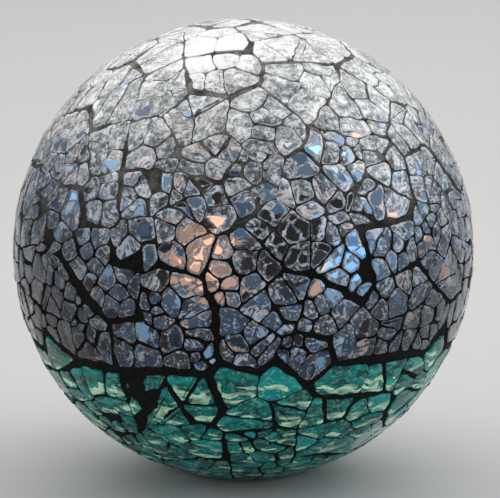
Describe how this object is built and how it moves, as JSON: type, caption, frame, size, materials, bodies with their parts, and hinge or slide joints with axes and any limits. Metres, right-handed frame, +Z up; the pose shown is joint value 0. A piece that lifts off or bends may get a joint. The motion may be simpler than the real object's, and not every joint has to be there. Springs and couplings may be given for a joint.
{
  "type": "decorative sphere",
  "caption": "Decorative mosaic ball of shattered silver mirror glass over a band of shattered teal glass, bedded in black grout, with a small flat foot.",
  "frame": {"origin": "centre of the flat that the ball rests on", "axes": "+Z up through the ball's centre, -Y towards the side seen in the picture, +X to that side's right"},
  "size_m": [0.0999, 0.0999, 0.0985],
  "materials": {
    "grout": "black sanded grout, matte",
    "silver_glass": "shattered clear glass on a silvered back, glossy",
    "green_glass": "shattered teal green glass on a painted back, glossy"
  },
  "bodies": {
    "root": {"grout_ball": "grout", "silver_shard_01": "silver_glass", "silver_shard_02": "silver_glass", "silver_shard_03": "silver_glass", "silver_shard_04": "silver_glass", "silver_shard_05": "silver_glass", "silver_shard_06": "silver_glass", "silver_shard_07": "silver_glass", "silver_shard_08": "silver_glass", "silver_shard_09": "silver_glass", "silver_shard_10": "silver_glass", "silver_shard_11": "silver_glass", "silver_shard_12": "silver_glass", "silver_shard_13": "silver_glass", "silver_shard_14": "silver_glass", "silver_shard_15": "silver_glass", "silver_shard_16": "silver_glass", "silver_shard_17": "silver_glass", "silver_shard_18": "silver_glass", "silver_shard_19": "silver_glass", "silver_shard_20": "silver_glass", "silver_shard_21": "silver_glass", "silver_shard_22": "silver_glass", "silver_shard_23": "silver_glass", "silver_shard_24": "silver_glass", "silver_shard_25": "silver_glass", "silver_shard_26": "silver_glass", "silver_shard_27": "silver_glass", "silver_shard_28": "silver_glass", "silver_shard_29": "silver_glass", "silver_shard_30": "silver_glass", "silver_shard_31": "silver_glass", "silver_shard_32": "silver_glass", "silver_shard_33": "silver_glass", "silver_shard_34": "silver_glass", "silver_shard_35": "silver_glass", "silver_shard_36": "silver_glass", "silver_shard_37": "silver_glass", "silver_shard_38": "silver_glass", "silver_shard_39": "silver_glass", "silver_shard_40": "silver_glass", "silver_shard_41": "silver_glass", "green_shard_01": "green_glass", "green_shard_02": "green_glass", "green_shard_03": "green_glass", "green_shard_04": "green_glass", "green_shard_05": "green_glass", "green_shard_06": "green_glass", "green_shard_07": "green_glass", "green_shard_08": "green_glass", "green_shard_09": "green_glass", "green_shard_10": "green_glass", "green_shard_11": "green_glass", "green_shard_12": "green_glass", "green_shard_13": "green_glass", "green_shard_14": "green_glass", "green_shard_15": "green_glass", "green_shard_16": "green_glass", "green_shard_17": "green_glass", "green_shard_18": "green_glass"}
  },
  "joints": []
}
